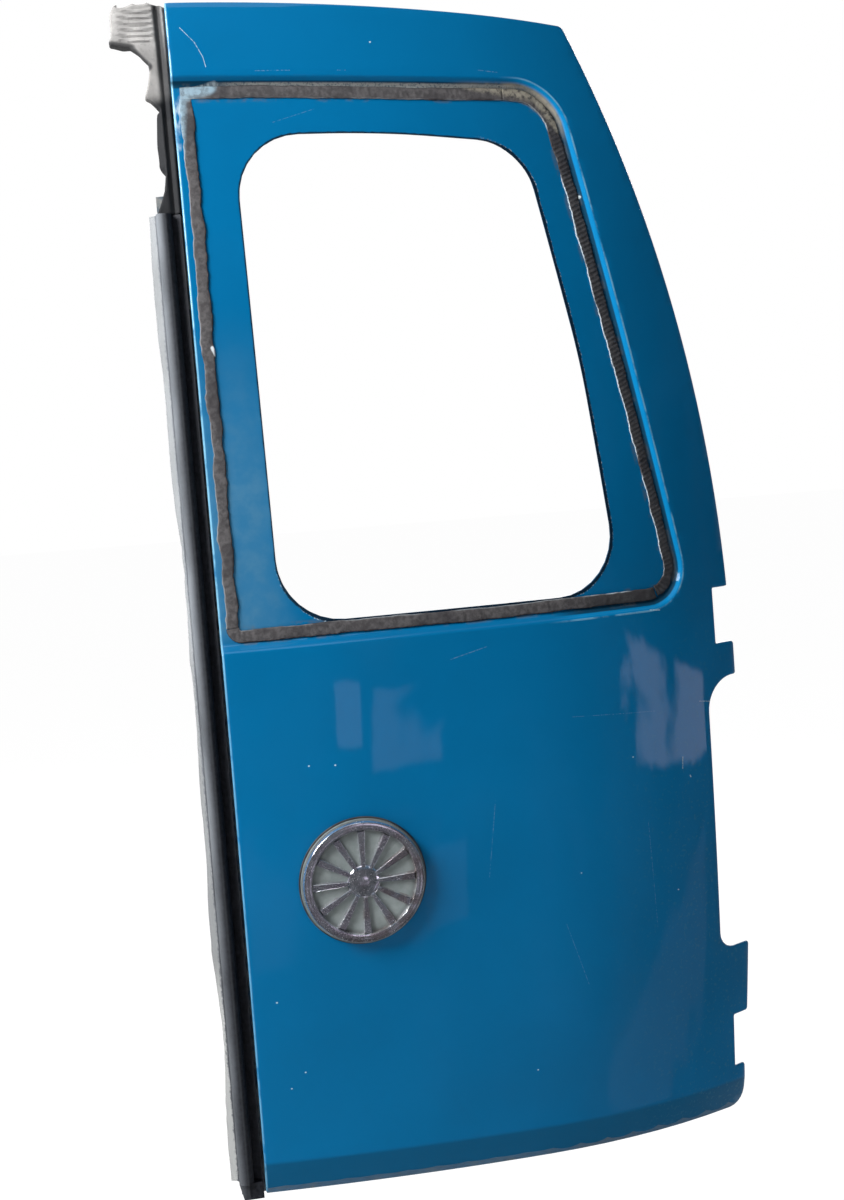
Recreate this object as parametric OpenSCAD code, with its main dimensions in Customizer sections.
// Rear barn door of a compact panel van: the narrow right-hand leaf, stripped of its glass,
// hinges, latches and trim. X runs from the free edge to the hinge edge, Y from the outer face
// inwards and Z up. Sizes are laid out from the lower free corner of the outer skin, and every
// piece is then moved so that the origin lies in the lower hinge seat.

/* [Body curve] */
// Plan radius of the skin beside the free edge
plan_r = 2400; // [2000:50:3200]
// Plan radius of the skin where it wraps round to the hinge edge
wrap_r = 700; // [600:10:900]
// Distance from the free edge at which the tighter wrap begins
wrap_x = 300; // [240:5:340]
// Radius of the upright bow of the door
bow_r = 4200; // [3600:50:6000]
// Height at which the bow stands furthest out
bow_z = 430; // [380:5:480]

/* [Outer skin] */
// Height of the skin at its free edge
door_h = 1190; // [1180:1:1230]
// Thickness of the outer sheet
skin_t = 1; // [0.8:0.05:1.3]
// Radius of the crowned top edge
top_edge_r = 4000; // [3200:50:8000]
// Greatest reach of the hinge edge from the free edge
hinge_edge_x = 557.5; // [550:0.5:570]
// Radius of the bulged hinge edge above the upper hinge
hinge_edge_r = 1600; // [1400:10:2200]
// Height at which that hinge edge stands upright
hinge_edge_z = 502; // [480:1:520]
// Radius of the upper hinge-side corner
top_corner_r = 5; // [2:0.5:20]
// Fall of the bottom edge towards the hinges, in degrees
bottom_fall = 2.5; // [0:0.1:3]
// Height of the turned-in lip along the bottom
lip_h = 36; // [25:1:38]
// How far the lip turns inwards at its lower edge
lip_in = 9; // [4:0.5:14]
// Reach of the foot below the lower hinge
foot_x = 549; // [540:1:560]
// Radius of the lower hinge-side corner
foot_r = 19; // [8:1:24]

/* [Hinge notches and lamp cut-out] */
// Height of the lower hinge above the lower free corner
lower_hinge_z = 59; // [55:1:62]
// Distance between the two hinges
hinge_pitch = 478; // [470:1:486]
// Height of each hinge notch in the skin
notch_h = 60; // [54:1:66]
// Distance of the notch wall from the free edge
notch_x = 535; // [526:1:540]
// Reach of the tabs beside the tail lamp
tab_x = 560; // [554:1:566]
// Distance of the lamp cut-out from the free edge
lamp_x = 520; // [515:1:528]
// Lower end of the lamp cut-out
lamp_low_z = 169; // [150:1:190]
// Upper end of the lamp cut-out
lamp_top_z = 470; // [450:1:480]
// Lower corner radius of the lamp cut-out
lamp_low_r = 20; // [10:1:30]
// Upper corner radius of the lamp cut-out
lamp_top_r = 38; // [20:1:39]

/* [Glass land] */
// Depth of the recessed land that the glass was bonded to
land_d = 9; // [6:0.5:12]
// Width of the sloping step down to the land
step_w = 9; // [5:0.5:12]
// Distance of the step's upper edge below the top of the skin
land_top_in = 72; // [65:1:85]
// Fall of that upper edge to its hinge-side corner
land_top_fall = 8; // [0:1:14]
// Lower edge of the step
land_low_z = 552; // [548:1:560]
// Reach of the step at its upper corner
land_top_x = 397; // [390:1:402]
// Reach of the step at its lower corner
land_low_x = 507; // [498:1:512]
// Radius of the upper corner of the step
land_top_r = 60; // [40:1:75]
// Radius of the lower corner of the step
land_low_r = 45; // [30:1:60]

/* [Window aperture] */
// Free-edge side of the aperture at its top
win_left_top_x = 56; // [50:1:62]
// Free-edge side of the aperture at its bottom
win_left_low_x = 61; // [56:1:68]
// Distance of the aperture's top edge below the upper edge of the step
win_top_in = 61; // [54:1:73]
// Bottom edge of the aperture
win_low_z = 576; // [572:1:590]
// Fall of the top edge to its hinge-side corner
win_top_fall = 13; // [0:1:20]
// Hinge side of the aperture at its top
win_right_top_x = 353; // [340:1:360]
// Hinge side of the aperture at its bottom
win_right_low_x = 420; // [410:1:426]
// Outward bulge of the hinge side at mid height
win_bulge = 9; // [0:1:14]
// Corner radius of the aperture
win_r = 64; // [40:1:75]

/* [Inner panel] */
// Thickness of the inner sheet
panel_t = 1; // [0.8:0.05:1.3]
// Depth of the inner panel behind the foremost line of the skin
panel_d = 63; // [62:1:70]
// Free-edge wall of the inner panel
panel_left_x = 11; // [10:0.5:13]
// Hinge-side wall of the inner panel, outer face
panel_right_x = 505; // [500:1:508]
// Lower wall of the inner panel, level beside the lower latch
panel_low_z = 46; // [44:1:50]
// Distance of that wall below the lower hinge seat, where it meets the hinge-side wall
panel_foot_in = 7; // [5:1:9]
// Distance of the inner panel's upper wall below the top of the skin
panel_top_in = 40; // [34:1:48]
// Corner radius of the inner panel
panel_r = 26; // [15:1:35]
// Corner radius of the inner panel below the lower hinge
panel_foot_r = 6; // [4:0.5:8]
// Distance of the upper hinge-side wall inside the skin's edge
panel_edge = 51; // [46:1:56]
// Width of the flange round the window aperture
well_w = 20; // [16:1:22]
// Clearance between pieces that are clamped or glued together
seat_gap = 0.2; // [0.1:0.05:0.3]
// Clearance of a flat-backed piece over the curved inner plate
curve_gap = 0.45; // [0.4:0.05:0.6]

/* [Service apertures] */
// Free-edge side of both service apertures
serve_left_x = 72; // [60:1:90]
// Hinge side of both service apertures
serve_right_x = 400; // [340:1:420]
// Lower edge of the upper service aperture
serve_mid_z = 262; // [256:1:280]
// Upper edge of the upper service aperture
serve_top_z = 470; // [440:1:480]
// Lower edge of the lower service aperture
serve_low_z = 84; // [76:1:95]
// Upper edge of the lower service aperture
serve_band_z = 192; // [180:1:198]
// Corner radius of the service apertures
serve_r = 30; // [15:1:45]
// Depth of the flange turned towards the skin round the service apertures
serve_flange = 8; // [4:1:12]

/* [Hinge seats] */
// Distance of the seats behind the foremost line of the skin
hinge_y = 108.5; // [108:0.5:109]
// How far each seat stands out from the hinge-side wall
seat_h = 3; // [2:0.5:5]
// Width of a seat
seat_w = 13; // [12:0.5:13.5]
// Height of a seat
seat_l = 56; // [50:1:58]
// Distance between the two bolts of a hinge
bolt_pitch = 36; // [32:1:38]
// Diameter of the hinge bolt holes
bolt_d = 9; // [8:0.5:10]
// Thickness of the plate behind a seat
backing_t = 4; // [3:0.5:6]
// Width across the flats of a weld nut
nut_af = 13; // [12:0.5:14]
// Height of a weld nut
nut_h = 7; // [5:0.5:8]
// Bore of a weld nut
nut_bore = 7; // [6.6:0.1:8]

/* [Latch plates] */
// Distance between the two screws of a latch
latch_pitch = 40; // [32:1:48]
// Diameter of the latch screw holes
latch_hole_d = 6.5; // [5.5:0.5:7]
// Diameter of the hole for the sliding bolt
latch_bolt_d = 16; // [12:0.5:18]
// Thickness of the latch plates
latch_t = 2.5; // [2:0.5:4]
// Height of the release lever plate
lever_z = 520; // [505:1:530]

/* [Rail and seal] */
// Reach of the closing rail beyond the free edge
rail_out = 24; // [20:0.5:25]
// Depth of the closing rail's face behind the skin line
rail_d = 20; // [18:0.5:24]
// Thickness of the closing rail
rail_t = 1.2; // [1:0.1:1.6]
// Radius of the hollow bulb of the seal
bulb_r = 7.5; // [6:0.5:8]
// Wall of the hollow bulb
bulb_wall = 1.8; // [1.2:0.1:2.4]
// Thickness of the rubber round the rail
clip_wall = 3; // [2.5:0.1:3.5]
// Lower end of the seal
seal_low_z = 14; // [8:1:24]
// Distance of the upper end of the seal's straight run below the top of the skin
seal_top_in = 208; // [200:1:230]
// Reach of the seal's outer lip beyond its clip
seal_lip_out = 7; // [4:0.5:9]
// Reach of the moulded corner beyond the free edge
corner_out = 54; // [50:1:57]
// Reach of the narrow neck below the moulded corner
neck_out = 11.5; // [9:0.5:14]
// Number of ribs across the moulded corner
corner_ribs = 6; // [3:1:8]

/* [Adhesive remains] */
// Width of the bead of adhesive
bead_w = 13; // [9:0.5:14]
// Height of the bead above the land
bead_h = 3; // [2:0.5:5]
// Distance of the bead from the foot of the step
bead_in = 1; // [0.5:0.5:3]
// Distance of the free-edge bead from the free edge
bead_left_x = 7; // [5:0.5:9]

/* [Emblem place] */
// Distance of the emblem's centre from the free edge
emblem_x = 120; // [105:1:140]
// Height of the emblem's centre
emblem_z = 316; // [290:1:340]
// Diameter of the bright ring
emblem_d = 123; // [110:1:130]
// Width of the bright ring
emblem_ring_w = 10; // [7:0.5:13]
// Height of the bright ring above the base
emblem_ring_h = 5; // [4:0.5:7]
// Thickness of the base disc
emblem_base_t = 3; // [2.5:0.5:5]
// Number of fins between the ring and the middle
emblem_fins = 12; // [8:1:16]
// Diameter of the domed middle
emblem_dome_d = 34; // [26:1:40]

/* [Stiffeners] */
// Height of the stiffener below the window
belt_z = 512; // [506:1:518]
// Height of the lower stiffener
lower_rail_z = 227; // [222:1:234]
// Width of both stiffeners
stiff_w = 34; // [26:1:38]
// Depth of both stiffeners
stiff_d = 16; // [10:1:22]
// Gap between a stiffener and the skin, filled by mastic
stiff_gap = 5; // [3:0.5:7]
// Thickness of the stiffeners
stiff_t = 1; // [0.8:0.1:1.5]

/* [Small fittings] */
// Diameter of the trim clip holes
plug_d = 10; // [8:0.5:12]
// Diameter of the plug heads
plug_head_d = 17; // [14:0.5:20]
// Diameter of the rubber buffers
buffer_d = 26; // [20:1:30]
// Height of the rubber buffers
buffer_h = 12; // [8:1:16]
// Diameter of the wiring hole
wire_d = 24; // [18:1:26]
// Height of the wiring hole
wire_z = 430; // [410:1:450]
// Height of the check strap bracket
strap_z = 130; // [122:1:136]
// Reach of the check strap bracket from the wall
strap_out = 16; // [12:1:18]
// Diameter of the check strap pin
strap_pin_d = 8; // [6:0.5:8]
// Thickness of the damping pad
pad_t = 2.4; // [1.5:0.1:4]
// Distance of the damping pads inside the service apertures
pad_in = 26; // [20:1:34]
// Diameter of the mastic pads between the skin and the stiffeners
mastic_d = 20; // [14:1:26]
// Distance of the first mastic pad of each row from the free edge
mastic_x = 70; // [66:1:74]
// Distance between the mastic pads of a row
mastic_pitch = 85; // [80:1:88]

/* [Hidden] */
$fn = 48;

paint = "#1d5c8c";
rubber = "#202224";
upper_hinge_z = lower_hinge_z + hinge_pitch;
flange_d = skin_t + seat_gap;
wrap_angle = asin(wrap_x / plan_r);
wrap_cx = wrap_x * (1 - wrap_r / plan_r);
wrap_cy = plan_r - (plan_r - wrap_r) * cos(wrap_angle);
reach_x = hinge_edge_x + 82.5;
layer_x0 = -70;
layer_w = hinge_edge_x + 27.5 - layer_x0;
low_z = -70;
high_z = door_h + 50;
front_y = -80;
back_y = 260;
seat_x = panel_right_x + seat_h;
land_top_z = door_h - land_top_in;
win_top_z = land_top_z - win_top_in;
panel_top_z = door_h - panel_top_in;
seal_top_z = door_h - seal_top_in;
edge_cx = hinge_edge_x - hinge_edge_r;

// Depth of the outer face at height bow_z, from the plan curve alone
function plan(x) = x <= wrap_x ? plan_r - sqrt(plan_r * plan_r - x * x)
    : wrap_cy - sqrt(wrap_r * wrap_r - pow(x - wrap_cx, 2));

// Depth of the inner plate at height bow_z: it keeps the flatter curve over its whole width
function plate_plan(x) = plan_r - sqrt(pow(plan_r - panel_d, 2) - x * x);

// Depth, at height z, of a face that lies at the depth d where the bow stands furthest out
function bowed(d, z) = bow_r - sqrt(pow(bow_r - d, 2) - pow(z - bow_z, 2));
function skin_y(x, z, d = 0) = bowed(plan(x) + d, z);
function plate_y(x, z, d = 0) = bowed(plate_plan(x) + d, z);

function edge_x(z, inset = 0) =
    edge_cx + sqrt(pow(hinge_edge_r - inset, 2) - pow(z - hinge_edge_z, 2));
function top_z(x) = door_h - top_edge_r + sqrt(top_edge_r * top_edge_r - x * x);
function bottom_z(x) = -x * tan(bottom_fall);
function unit(v) = v / norm(v);

// Points of the arc that rounds the corner b between a and c to the radius r
function corner(a, b, c, r) =
    let (steps = r > 30 ? 8 : r > 8 ? 5 : 2, u = unit(a - b), v = unit(c - b), half = acos(u * v) / 2,
        centre = b + unit(u + v) * r / sin(half),
        from = b + u * r / tan(half) - centre, to = b + v * r / tan(half) - centre,
        start = atan2(from.y, from.x),
        turn = atan2(from.x * to.y - from.y * to.x, from * to))
    [for (i = [0:steps]) centre + r * [cos(start + turn * i / steps), sin(start + turn * i / steps)]];

// Outline through vertices [x, z, radius], with every corner rounded to its own radius
function rounded(vertices) =
    let (n = len(vertices), p = [for (v = vertices) [v.x, v.y]])
    [for (i = [0:n - 1]) each vertices[i].z > 0
        ? corner(p[(i + n - 1) % n], p[i], p[(i + 1) % n], vertices[i].z) : [p[i]]];

// The same points with long stretches divided, so that they can follow the body curve
function divided(points, step) =
    [for (i = [0:len(points) - 2])
        let (n = max(1, ceil(norm(points[i + 1] - points[i]) / step)))
        for (k = [0:n - 1]) points[i] + (points[i + 1] - points[i]) * k / n, points[len(points) - 1]];

// An open path moved sideways to its left
function sideways(path, w) =
    [for (i = [0:len(path) - 1])
        let (t = unit(path[min(i + 1, len(path) - 1)] - path[max(i - 1, 0)]))
        path[i] + w * [-t.y, t.x]];

top_x0 = edge_x(top_z(0.74 * hinge_edge_x));
top_corner_x = edge_x(top_z(top_x0));
notch_edge_z = upper_hinge_z + notch_h / 2;

skin_outline = rounded(concat([
        [0, 0, 0],
        [foot_x, bottom_z(foot_x), foot_r],
        [foot_x, lower_hinge_z - notch_h / 2, 2],
        [notch_x, lower_hinge_z - notch_h / 2, 3],
        [notch_x, lower_hinge_z + notch_h / 2, 3],
        [tab_x - 5, lower_hinge_z + notch_h / 2, 2],
        [tab_x, lamp_low_z, 2],
        [lamp_x, lamp_low_z, lamp_low_r],
        [lamp_x, lamp_top_z, lamp_top_r],
        [tab_x, lamp_top_z, 1],
        [tab_x, upper_hinge_z - notch_h / 2, 2],
        [notch_x, upper_hinge_z - notch_h / 2, 3],
        [notch_x, notch_edge_z, 3]],
    [for (i = [0:14]) let (z = notch_edge_z + (top_z(top_corner_x) - 30 - notch_edge_z) * i / 14)
        [edge_x(z), z, 0]],
    [[top_corner_x, top_z(top_corner_x), top_corner_r]],
    [for (i = [11:-1:1]) [top_corner_x * i / 12, top_z(top_corner_x * i / 12), 0]],
    [[0, door_h, 0]]));

// The step round the glass land, from the free edge along the bottom, up and back to the free edge
step_path = divided(concat(
    [[-6, land_low_z]],
    corner([0, land_low_z], [land_low_x, land_low_z],
        [land_top_x, land_top_z - land_top_fall], land_low_r),
    corner([land_low_x, land_low_z], [land_top_x, land_top_z - land_top_fall],
        [0, land_top_z], land_top_r),
    [[-6, land_top_z]]), 36);
foot_path = sideways(step_path, step_w);

win_mid = [(win_right_top_x + win_right_low_x) / 2 + win_bulge, (win_top_z + win_low_z) / 2];
window_outline = rounded([
    [win_left_low_x, win_low_z, win_r],
    [win_right_low_x, win_low_z, win_r],
    [win_mid.x, win_mid.y, 900],
    [win_right_top_x, win_top_z - win_top_fall, win_r],
    [(win_left_top_x + win_right_top_x) / 2, win_top_z, 1200],
    [win_left_top_x, win_top_z, win_r]]);

latch_edge = 12;
latch_margin = 2;
latch_x = panel_left_x + panel_r + latch_margin + latch_edge + latch_pitch / 2;
panel_turn_z = hinge_edge_z + 90;
panel_outline = rounded(concat([
        [panel_left_x, panel_low_z, panel_r],
        [2 * latch_x, panel_low_z, 60],
        [panel_right_x, lower_hinge_z - seat_l / 2 - panel_foot_in, panel_foot_r],
        [panel_right_x, upper_hinge_z + seat_l / 2 + 4, 0]],
    [for (i = [0:10]) let (z = panel_turn_z + (panel_top_z - 50 - panel_turn_z) * i / 10)
        [min(panel_right_x, edge_x(z, panel_edge)), z, 0]],
    [[edge_x(panel_top_z, panel_edge), panel_top_z, panel_r],
    [panel_left_x, panel_top_z, panel_r]]));

function serve_outline(low, high) = rounded([
    [serve_left_x, low, serve_r], [serve_right_x, low, serve_r],
    [serve_right_x, high, serve_r], [serve_left_x, high, serve_r]]);

latch_low_y = (skin_y(latch_x, panel_low_z) + plate_y(latch_x, panel_low_z)) / 2;
latch_top_y = (skin_y(latch_x, panel_top_z) + plate_y(latch_x, panel_top_z)) / 2;
rail_leg = 20;
latch_w = 28;
lever_margin = 2;
lever_y = rail_d + rail_leg + latch_bolt_d / 2 + lever_margin;
lever_w = 18;
lever_pitch = 50;
wire_y = (skin_y(panel_right_x, wire_z) + plate_y(panel_right_x, wire_z)) / 2;
backing_x = panel_right_x - panel_t - seat_gap - backing_t;
rail_low_z = -4;
rail_top_z = door_h - 4;
corner_d = 9;
rail_neck_x = 3 - neck_out;
clip_x = -rail_out + 12;
seal_lip_gap = 2;
lip_rise = 5;
lip_t = 1.8;
base_z = 1.9;
strap_w = 12;
strap_l = 44;
strap_t = 2.5;
strap_gap = 14;
header_z = (win_top_z + well_w + panel_top_z) / 2;
serve_w = serve_right_x - serve_left_x;
plug_zs = [(serve_low_z + serve_band_z) / 2, lower_rail_z, (serve_mid_z + serve_top_z) / 2, serve_top_z];
plug_places = concat(
    [for (z = plug_zs) [(panel_left_x + serve_left_x) / 2, z]],
    [for (z = plug_zs) [(panel_right_x + serve_right_x) / 2 - plug_head_d / 2, z]],
    [for (p = [[0.5, belt_z], [0.12, header_z], [0.48, header_z]]) [serve_left_x + serve_w * p.x, p.y]]);
buffer_places = [[serve_right_x + buffer_d, (panel_low_z + serve_low_z) / 2],
    [serve_left_x + serve_w * 0.73, header_z]];

module at_door() translate([-seat_x, -hinge_y, -lower_hinge_z]) children();

// Upright outline carried through the whole depth of the door
module through() translate([0, back_y, 0]) rotate([90, 0, 0]) linear_extrude(back_y - front_y) children();

// Sweeps a section drawn as [radius from the bow's centre, -x] along the bow between two heights
module along_bow(z0 = low_z, z1 = high_z) {
    a0 = asin((z0 - bow_z) / bow_r);
    translate([0, bow_r, bow_z]) rotate([90, 0, -90]) rotate(a0)
        rotate_extrude(angle = asin((z1 - bow_z) / bow_r) - a0, $fn = 720) children();
}

// Plan section of the layer between depths d0 and d1 behind the outer face
module skin_section(d0, d1) {
    xs = concat([for (i = [0:5]) layer_x0 + (wrap_x - layer_x0) * i / 5],
        [for (i = [1:11]) wrap_x + (layer_x0 + layer_w - wrap_x) * i / 11]);
    polygon(concat([for (x = xs) [bow_r - plan(x) - d0, -x]],
        [for (i = [len(xs) - 1:-1:0]) [bow_r - plan(xs[i]) - d1, -xs[i]]]));
}

// Plan section of a layer of the flatter inner plate
module plate_section(d0, d1) {
    xs = [for (i = [0:9]) layer_x0 + layer_w * i / 9];
    polygon(concat([for (x = xs) [bow_r - plate_plan(x) - d0, -x]],
        [for (i = [len(xs) - 1:-1:0]) [bow_r - plate_plan(xs[i]) - d1, -xs[i]]]));
}

// Plan section of all that lies between depth d0 behind the skin and depth d1 behind the plate
module core_section(d0, d1) {
    xs = [for (i = [0:20]) layer_x0 + layer_w * i / 20];
    polygon(concat([for (x = xs) [bow_r - plan(x) - d0, -x]],
        [for (i = [20:-1:0]) [bow_r - plate_plan(xs[i]) - d1, -xs[i]]]));
}

module layer(d0, d1) along_bow() skin_section(d0, d1);
module plate_layer(d0, d1) along_bow() plate_section(d0, d1);

// A bent strip of sheet between two paths of points [x, y, z], t thick along Y
module strip(path_a, path_b, t) {
    n = len(path_a);
    back = [0, t, 0];
    polyhedron(
        points = [for (i = [0:n - 1]) each [path_a[i], path_b[i], path_b[i] + back, path_a[i] + back]],
        faces = concat([[2, 1, 0], [3, 2, 0]],
            [for (i = [0:n - 2], k = [0:3])
                let (a = 4 * i + k, b = 4 * i + (k + 1) % 4)
                each [[a, b, b + 4], [a, b + 4, a + 4]]],
            [[4 * n - 4, 4 * n - 3, 4 * n - 2], [4 * n - 4, 4 * n - 2, 4 * n - 1]]));
}

module above_crease() polygon([[-20, lip_h], [reach_x, lip_h + bottom_z(reach_x)],
    [reach_x, high_z], [-20, high_z]]);

// The sloping step round the glass land, d behind the outer face and t thick
module step_strip(d, t) {
    lap = 0.4;
    outer = sideways(step_path, -lap);
    inner = sideways(foot_path, lap);
    strip([for (p = outer) [p.x, skin_y(p.x, p.y) + d, p.y]],
        [for (p = inner) [p.x, skin_y(p.x, p.y, land_d) + d, p.y]], t);
}

// The lip along the bottom, d behind the outer face and t thick
module lip_strip(d, t) {
    lap = 0.4;
    xs = [for (i = [0:18]) -12 + (foot_x + 20) * i / 18];
    strip([for (x = xs) let (z = bottom_z(x) - 6) [x, skin_y(x, z + 6) + lip_in + d, z]],
        [for (x = xs) let (z = lip_h + bottom_z(x)) [x, skin_y(x, z) + d, z + lap]], t);
}

// The formed sheet between depths d0 and d1, body, step, land and lip, cut to an upright outline
module formed(d0, d1) {
    inset = 0.15 * (d1 - d0);
    intersection() {
        layer(d0, d1);
        through() difference() {
            intersection() { children(); above_crease(); }
            polygon(step_path);
        }
    }
    intersection() {
        layer(land_d + d0, land_d + d1);
        through() intersection() { children(); polygon(foot_path); }
    }
    intersection() { step_strip(d0 + inset, d1 - d0 - 2 * inset); through() children(); }
    intersection() { lip_strip(d0 + inset, d1 - d0 - 2 * inset); through() children(); }
}

module skin_shape(inset = 0) offset(delta = -inset) polygon(skin_outline);
module panel_shape(inset = 0) offset(delta = -inset) polygon(panel_outline);
module well_shape(grow = 0) offset(delta = well_w + grow) polygon(window_outline);

// Moves what is drawn at the origin, facing +Z, to the outer face, facing out of the door
module on_skin(x, z, d = 0)
    translate([x, skin_y(x, z, d), z]) rotate([-asin((z - bow_z) / (bow_r - plan(x))), 0, 0])
        rotate(asin(x / plan_r)) rotate([90, 0, 0]) children();

// The same on the inner plate, facing into the van
module on_plate(x, z, d = 0)
    translate([x, plate_y(x, z, d), z]) rotate([-asin((z - bow_z) / (bow_r - plate_plan(x))), 0, 0])
        rotate(asin(x / (plan_r - panel_d))) rotate([-90, 0, 0]) children();

// Outline of a strip [x0, z0] to [x1, z1]
module pane(low, high) translate(low) square(high - low);

// A cylinder along +X from the point given
module bar_x(at, d, l) translate(at) rotate([0, 90, 0]) cylinder(d = d, h = l);

module outer_skin() color(paint) at_door() formed(0, skin_t) difference() {
    skin_shape();
    polygon(window_outline);
}

module panel_ring() difference() { panel_shape(); panel_shape(panel_t); }

module panel_walls() {
    mid = panel_t / 2;
    intersection() {
        along_bow() core_section(flange_d + mid, mid);
        through() difference() { panel_ring(); polygon(step_path); }
    }
    intersection() {
        along_bow() core_section(land_d + flange_d + mid, mid);
        through() union() {
            intersection() { panel_ring(); polygon(step_path); }
            difference() { well_shape(panel_t); well_shape(); }
        }
    }
}

module serve_shape() {
    polygon(serve_outline(serve_mid_z, serve_top_z));
    polygon(serve_outline(serve_low_z, serve_band_z));
}

module panel_plate() {
    intersection() {
        plate_layer(0, panel_t);
        through() difference() { panel_shape(); well_shape(); serve_shape(); }
    }
    intersection() {
        plate_layer(-serve_flange, panel_t / 2);
        through() difference() { offset(delta = panel_t) serve_shape(); serve_shape(); }
    }
}

module hinge_seats() for (z = [lower_hinge_z, upper_hinge_z])
    translate([panel_right_x - panel_t / 2, hinge_y - seat_w / 2, z - seat_l / 2])
        cube([seat_h + panel_t / 2, seat_w, seat_l]);

module hinge_holes(d) for (z = [lower_hinge_z, upper_hinge_z], s = [-1, 1])
    bar_x([panel_right_x - 30, hinge_y, z + s * bolt_pitch / 2], d, 40);

// Holes of a latch that sits against a level wall at height z
module latch_holes(z, y) {
    for (s = [-1, 1]) translate([latch_x + s * latch_pitch / 2, y, z - 10])
        cylinder(d = latch_hole_d, h = 20);
    translate([latch_x, y, z - 10]) cylinder(d = latch_bolt_d, h = 20);
}

module lever_holes() {
    for (s = [-1, 1]) bar_x([panel_left_x - 5, lever_y, lever_z + s * lever_pitch / 2], latch_hole_d, 20);
    translate([panel_left_x - 5, lever_y - latch_bolt_d / 2, lever_z - latch_bolt_d])
        cube([20, latch_bolt_d, 2 * latch_bolt_d]);
}

module plug_holes() for (p = plug_places) on_plate(p.x, p.y, -5) cylinder(d = plug_d, h = 12);

module inner_panel() color(paint) at_door() difference() {
    union() {
        formed(flange_d, flange_d + panel_t) difference() {
            skin_shape(skin_t + seat_gap);
            panel_shape(panel_t);
        }
        panel_walls();
        panel_plate();
        intersection() {
            layer(land_d + flange_d, land_d + flange_d + panel_t);
            through() difference() { well_shape(panel_t); polygon(window_outline); }
        }
        hinge_seats();
    }
    hinge_holes(bolt_d);
    latch_holes(panel_low_z, latch_low_y);
    latch_holes(panel_top_z, latch_top_y);
    lever_holes();
    plug_holes();
    bar_x([panel_right_x - 10, wire_y, wire_z], wire_d, 20);
}

// A point of a section that is swept along the free edge: x and the depth behind the skin line
function edge_point(x, d) = [bow_r - d, -x];

module meeting_rail() color("#6f7a83") at_door() intersection() {
    face_x = panel_left_x - seat_gap;
    along_bow(rail_low_z, rail_top_z) polygon([
        edge_point(-rail_out, rail_d),
        edge_point(face_x, rail_d),
        edge_point(face_x, rail_d + rail_leg),
        edge_point(face_x - rail_t, rail_d + rail_leg),
        edge_point(face_x - rail_t, rail_d + rail_t),
        edge_point(-rail_out, rail_d + rail_t)]);
    through() polygon([[-reach_x, low_z], [panel_left_x + rail_leg, low_z],
        [panel_left_x + rail_leg, high_z], [rail_neck_x, high_z],
        [rail_neck_x, seal_top_z + rail_leg], [-reach_x, seal_top_z - rail_leg]]);
}

module edge_seal() color(rubber) at_door() {
    front_d = rail_d - clip_wall;
    back_d = rail_d + rail_t + clip_wall;
    bulb_x = -rail_out + bulb_r - 2;
    bulb_d = front_d - bulb_r + 1;
    start = asin((bulb_r - 1) / bulb_r);
    along_bow(seal_low_z, seal_top_z) difference() {
        polygon(concat(
            [edge_point(-rail_out - clip_wall, back_d),
                edge_point(-rail_out - clip_wall - seal_lip_out, back_d - 1),
                edge_point(-rail_out - clip_wall - seal_lip_out, back_d - 1 - lip_t),
                edge_point(-rail_out - clip_wall, front_d + 1),
                edge_point(-rail_out - clip_wall, front_d)],
            [for (i = [0:16]) let (a = 180 + start - (180 + 2 * start) * i / 16)
                edge_point(bulb_x + bulb_r * cos(a), bulb_d - bulb_r * sin(a))],
            [edge_point(clip_x, front_d),
                edge_point(-seal_lip_gap, front_d - lip_rise),
                edge_point(-seal_lip_gap - 1, front_d - lip_rise + lip_t),
                edge_point(clip_x, rail_d - seat_gap),
                edge_point(-rail_out - seat_gap, rail_d - seat_gap),
                edge_point(-rail_out - seat_gap, rail_d + rail_t + seat_gap),
                edge_point(clip_x, rail_d + rail_t + seat_gap),
                edge_point(clip_x, back_d)]));
        translate(edge_point(bulb_x, bulb_d)) circle(r = bulb_r - bulb_wall);
    }
}

// Face outline of the moulded corner: its head, the hollow under its pointed tip, and its neck
corner_outline = concat(
    [[-seal_lip_gap, seal_top_z + seat_gap], [-seal_lip_gap, door_h + 1], [-17, door_h + 2]],
    [for (p = [[4, 1], [0.5, 8], [0, 30], [-3, 38], [corner_out * 0.33, 42], [corner_out / 2, 49],
        [corner_out * 0.63, 57], [corner_out * 0.64, 66], [corner_out * 0.59, 79], [corner_out * 0.52, 91],
        [corner_out * 0.61, 94]]) [p.x - corner_out, door_h - p.y]],
    [[-neck_out - 1, door_h - 104], [-neck_out, (door_h - 104 + seal_top_z) / 2],
    [-neck_out - 3, seal_top_z + 25], [-rail_out, seal_top_z + seat_gap]]);

module seal_top_corner() color("#a9aeac") at_door() {
    intersection() {
        along_bow() polygon([
            edge_point(-corner_out - 5, corner_d), edge_point(5, corner_d),
            edge_point(5, rail_d - seat_gap), edge_point(-corner_out - 5, rail_d - seat_gap)]);
        through() polygon(corner_outline);
    }
    intersection() {
        along_bow() polygon([
            edge_point(-corner_out - 5, corner_d - 2), edge_point(5, corner_d - 2),
            edge_point(5, corner_d + 1), edge_point(-corner_out - 5, corner_d + 1)]);
        through() intersection() {
            offset(delta = -1.5) polygon(corner_outline);
            for (i = [0:corner_ribs - 1]) translate([-corner_out / 2, door_h + 60 - 6 * i])
                difference() { circle(r = 92); circle(r = 89); }
        }
    }
}

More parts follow.
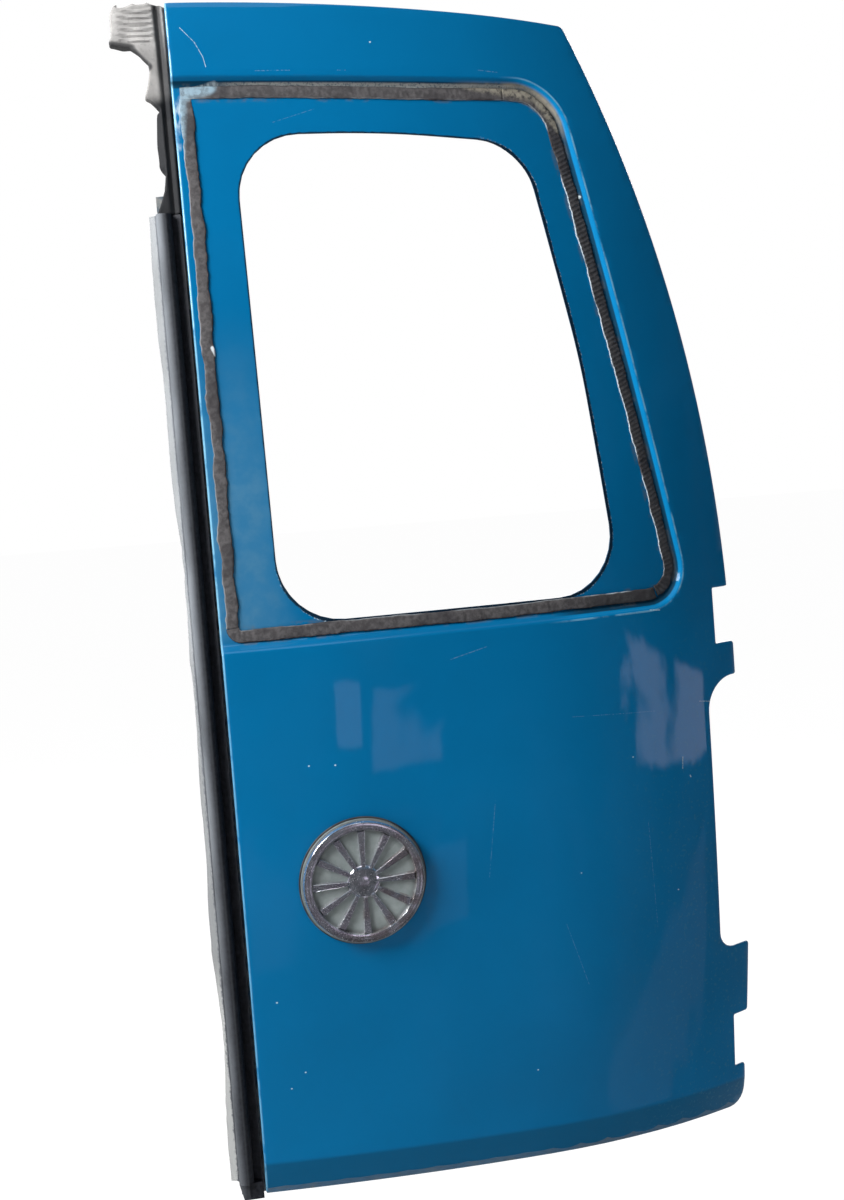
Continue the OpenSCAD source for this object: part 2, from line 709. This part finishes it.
module seal_bottom_end() color(rubber) at_door() intersection() {
    along_bow() polygon([
        edge_point(-rail_out - clip_wall, corner_d), edge_point(0, corner_d),
        edge_point(0, rail_d - seat_gap), edge_point(-rail_out - clip_wall, rail_d - seat_gap)]);
    through() polygon([
        [-rail_out + 2, rail_low_z], [-seal_lip_gap, rail_low_z],
        [-seal_lip_gap, seal_low_z - seat_gap], [-rail_out - 2, seal_low_z - seat_gap]]);
}

bead_outer = sideways(foot_path, bead_in);
bead_inner = sideways(foot_path, bead_in + bead_w);
split_top_x = land_top_x - land_top_r;
split_low_x = land_low_x - land_low_r;

module bead_ring() difference() { polygon(bead_outer); polygon(bead_inner); }

// Everything on the free-edge side of the line that parts the side bead from the other two
module inboard(shift = 0) polygon([[bead_left_x, 0], [split_low_x + shift, 0],
    [split_low_x + shift, land_low_z + 40], [split_top_x + shift, land_top_z - 60],
    [split_top_x + shift, high_z], [bead_left_x, high_z]]);

module bead() color("#33302d") at_door() intersection() {
    layer(land_d - bead_h, land_d - seat_gap / 2);
    through() children();
}

module adhesive_top() bead() intersection() {
    bead_ring();
    inboard();
    pane([0, win_mid.y], [reach_x, high_z]);
}

module adhesive_bottom() bead() intersection() {
    bead_ring();
    inboard();
    pane([0, 0], [reach_x, win_mid.y]);
}

module adhesive_right() bead() difference() {
    bead_ring();
    inboard(0.3);
    pane([-20, 0], [bead_left_x + 1, high_z]);
}

module adhesive_left() bead() difference() {
    pane([bead_left_x, land_low_z + step_w + bead_in], [bead_left_x + bead_w - 1, land_top_z]);
    offset(delta = 0.3) bead_ring();
    pane([0, land_top_z - step_w - bead_in - bead_w / 2], [100, high_z]);
}

module emblem_gasket() color(rubber) at_door() intersection() {
    layer(-1.6, -seat_gap / 2);
    on_skin(emblem_x, emblem_z, 6) cylinder(d = emblem_d + 6, h = 20);
}

module emblem_base() color("#8d958f") at_door() on_skin(emblem_x, emblem_z)
    translate([0, 0, base_z]) cylinder(d = emblem_d + 3, h = emblem_base_t);

module emblem_ring() color("#d9dde0") at_door() on_skin(emblem_x, emblem_z)
    translate([0, 0, base_z + emblem_base_t + seat_gap / 2]) rotate_extrude()
        polygon([for (i = [0:12]) let (a = 15 * i)
            [emblem_d / 2 - emblem_ring_w / 2 * (1 - cos(a)), emblem_ring_h * pow(sin(a), 0.6)]]);

module emblem_motif() color("#d9dde0") at_door() on_skin(emblem_x, emblem_z)
    translate([0, 0, base_z + emblem_base_t + seat_gap / 2]) {
        dome_r = emblem_dome_d / 2;
        inner_r = emblem_d / 2 - emblem_ring_w - seat_gap;
        rotate_extrude() polygon(concat([[0, 0]],
            [for (i = [0:8]) [dome_r * cos(11.25 * i), emblem_ring_h * sin(11.25 * i)]]));
        for (i = [0:emblem_fins - 1]) rotate(360 * i / emblem_fins)
            linear_extrude(emblem_ring_h * 0.6)
                polygon([[dome_r - 2, -1.6], [inner_r, -3.4], [inner_r, 3.4], [dome_r - 2, 1.6]]);
    }

module hinge_plate(z) color("#5c6064") at_door() difference() {
    translate([backing_x, hinge_y - seat_w / 2, z - seat_l / 2]) cube([backing_t, seat_w, seat_l]);
    hinge_holes(bolt_d);
}

module hinge_nuts(z) color("#a79a6b") at_door() for (s = [-1, 1])
    translate([backing_x - seat_gap - nut_h, hinge_y, z + s * bolt_pitch / 2]) rotate([0, 90, 0])
        difference() {
            cylinder(d = nut_af / cos(30), h = nut_h, $fn = 6);
            translate([0, 0, -1]) cylinder(d = nut_bore, h = nut_h + 2);
        }

module upper_hinge_plate() hinge_plate(upper_hinge_z);
module lower_hinge_plate() hinge_plate(lower_hinge_z);
module upper_hinge_nuts() hinge_nuts(upper_hinge_z);
module lower_hinge_nuts() hinge_nuts(lower_hinge_z);

// Reinforcement inside a level wall, with its outer face at height z
module latch_plate(z, y) color("#5c6064") at_door() difference() {
    translate([latch_x - latch_pitch / 2 - latch_edge, y - latch_w / 2, z])
        cube([latch_pitch + 2 * latch_edge, latch_w, latch_t]);
    latch_holes(z, y);
}

module lower_latch_plate() latch_plate(panel_low_z + panel_t + seat_gap, latch_low_y);
module upper_latch_plate() latch_plate(panel_top_z - panel_t - seat_gap - latch_t, latch_top_y);

module release_lever_plate() color("#5c6064") at_door() difference() {
    translate([panel_left_x + panel_t + seat_gap, lever_y - lever_w / 2,
        lever_z - lever_pitch / 2 - latch_edge])
        cube([latch_t, lever_w, lever_pitch + 2 * latch_edge]);
    lever_holes();
}

// Channel-shaped rail behind the skin, open towards the van
module stiffener(z) color(paint) at_door() {
    low = [panel_left_x + panel_t + seat_gap, z - stiff_w / 2];
    high = [backing_x - seat_gap, z + stiff_w / 2];
    web_d = skin_t + stiff_gap;
    intersection() { layer(web_d, web_d + stiff_t); through() pane(low, high); }
    intersection() {
        layer(web_d, web_d + stiff_d);
        through() difference() {
            pane(low, high);
            pane(low + [-5, stiff_t], high + [5, -stiff_t]);
        }
    }
}

module belt_stiffener() stiffener(belt_z);
module lower_stiffener() stiffener(lower_rail_z);

module mastic_pads() color("#2b2b2b") at_door() intersection() {
    layer(skin_t + seat_gap / 2, skin_t + stiff_gap - seat_gap / 2);
    through() for (z = [belt_z, lower_rail_z], i = [0:4])
        translate([mastic_x + mastic_pitch * i, z]) circle(d = mastic_d);
}

// Outline of a damping pad behind a service aperture, from a part of the aperture's width onwards
module pad_shape(share, low, high) let (x0 = serve_left_x + share * serve_w, x1 = serve_right_x - pad_in,
    z0 = low + pad_in / 2, z1 = high - pad_in / 2, r = pad_in / 2)
    polygon(rounded([[x0, z0, r], [x1, z0, r], [x1, z1, r], [x0, z1, r]]));

module sound_pad() color("#2b2b2b") at_door() intersection() {
    layer(skin_t + seat_gap / 2, skin_t + seat_gap / 2 + pad_t);
    through() {
        pad_shape(0.36, serve_mid_z, serve_top_z);
        pad_shape(0.12, serve_low_z, serve_band_z);
    }
}

module trim_plugs() color(rubber) at_door() for (p = plug_places) {
    on_plate(p.x, p.y, panel_t + curve_gap) cylinder(d1 = plug_head_d, d2 = plug_head_d - 3, h = 2);
    on_plate(p.x, p.y, -4) cylinder(d = plug_d - 2 * seat_gap, h = 5.5 + panel_t);
}

module bump_stops() color(rubber) at_door() for (p = buffer_places)
    on_plate(p.x, p.y, panel_t + curve_gap) rotate_extrude() polygon([
        [0, 0], [buffer_d / 2, 0], [buffer_d / 2, buffer_h * 0.4],
        [buffer_d / 2 - 3, buffer_h - 2], [buffer_d / 2 - 5, buffer_h], [0, buffer_h]]);

module wiring_grommet() color(rubber) at_door() translate([panel_right_x, wire_y, wire_z])
    rotate([0, 90, 0]) rotate_extrude() polygon([
        [0, seat_gap], [wire_d / 2 + 3, seat_gap], [wire_d / 2 + 3, 2], [wire_d / 2 - 2, 5],
        [wire_d / 2 - 4, 5], [wire_d / 2 - 4, 2], [0, 2]]);

module check_strap_bracket() color("#5c6064") at_door() difference() {
    translate([panel_right_x + seat_gap, hinge_y - strap_w / 2, strap_z - strap_l / 2]) {
        cube([strap_t, strap_w, strap_l]);
        for (z = [strap_l / 2 - strap_gap / 2 - strap_t, strap_l / 2 + strap_gap / 2])
            translate([0, 0, z]) cube([strap_out, strap_w, strap_t]);
    }
    translate([panel_right_x + strap_out - strap_pin_d, hinge_y, strap_z - strap_l])
        cylinder(d = strap_pin_d, h = 2 * strap_l);
}

outer_skin();
inner_panel();
meeting_rail();
edge_seal();
seal_top_corner();
seal_bottom_end();
adhesive_top();
adhesive_right();
adhesive_bottom();
adhesive_left();
emblem_gasket();
emblem_base();
emblem_ring();
emblem_motif();
upper_hinge_plate();
lower_hinge_plate();
upper_hinge_nuts();
lower_hinge_nuts();
upper_latch_plate();
lower_latch_plate();
release_lever_plate();
belt_stiffener();
lower_stiffener();
mastic_pads();
sound_pad();
trim_plugs();
bump_stops();
wiring_grommet();
check_strap_bracket();
